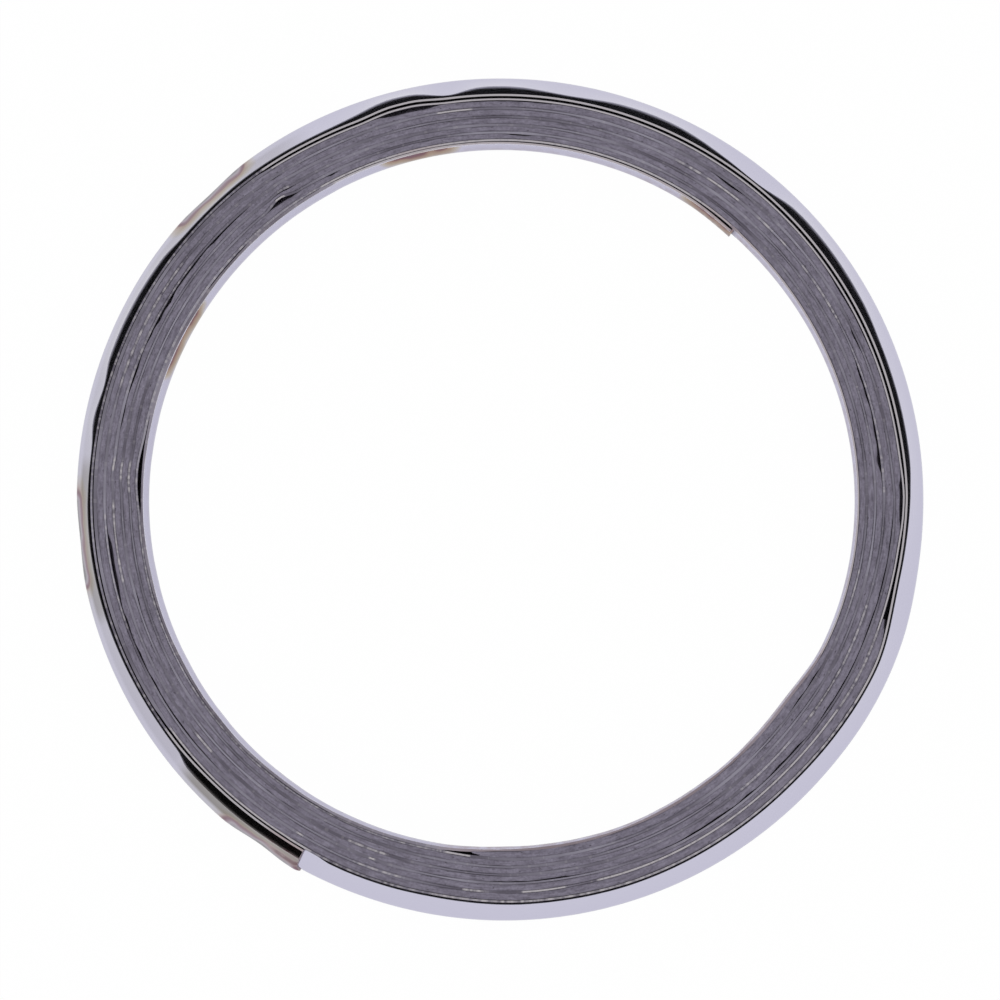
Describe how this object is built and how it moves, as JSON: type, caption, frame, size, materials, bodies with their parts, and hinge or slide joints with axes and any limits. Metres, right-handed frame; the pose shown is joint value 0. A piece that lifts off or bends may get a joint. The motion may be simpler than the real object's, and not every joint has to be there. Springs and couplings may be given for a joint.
{
  "type": "spiral wound exhaust ring gasket",
  "caption": "Exhaust ring gasket: a V-formed stainless strip wound in a spiral with a grey graphite tape between its turns, for a 60 mm bore.",
  "frame": {"origin": "on the ring's axis, at the lower sealing face", "axes": "+Z along the ring's axis and out of the upper sealing face; +Y is the top of the picture and +X its right, so the strip's inner end is at 49 degrees from +X and its outer end at 241 degrees, anticlockwise from above"},
  "size_m": [0.0711, 0.0713, 0.005],
  "materials": {
    "strip": "satin",
    "graphite": "matte"
  },
  "bodies": {
    "root": {"winding_strip": "strip", "filler_tape": "graphite"}
  },
  "joints": []
}
